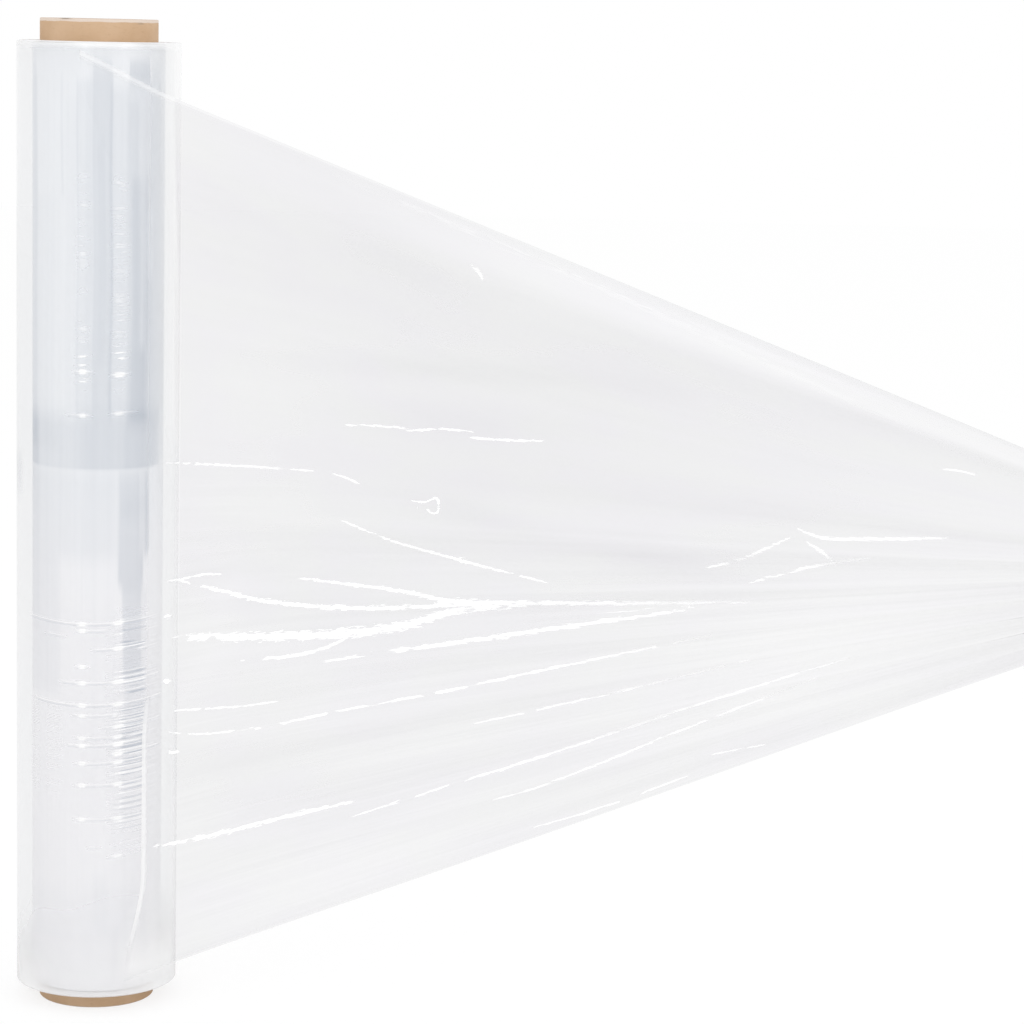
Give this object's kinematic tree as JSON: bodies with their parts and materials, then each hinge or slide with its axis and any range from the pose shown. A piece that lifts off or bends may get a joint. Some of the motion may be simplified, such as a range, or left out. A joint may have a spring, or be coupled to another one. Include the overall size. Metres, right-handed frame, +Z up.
{
  "type": "stretch wrap roll",
  "caption": "Roll of clear stretch film wound on an open paperboard tube, with its loose end drawn off to one side and gathered.",
  "frame": {"origin": "on the roll's axis, at the foot of the paperboard tube, where it stands", "axes": "+Z up along the tube's axis, +X the way the loose end is drawn off, front towards -Y"},
  "size_m": [0.5575, 0.0857, 0.5205],
  "materials": {
    "core_board": "matte kraft paperboard, spirally wound, with pale sawn ends",
    "film_clear": "glossy clear polyethylene film: silvery and nearly opaque where wound, see-through where drawn off"
  },
  "bodies": {
    "root": {"core": "core_board", "film": "film_clear"}
  },
  "joints": []
}
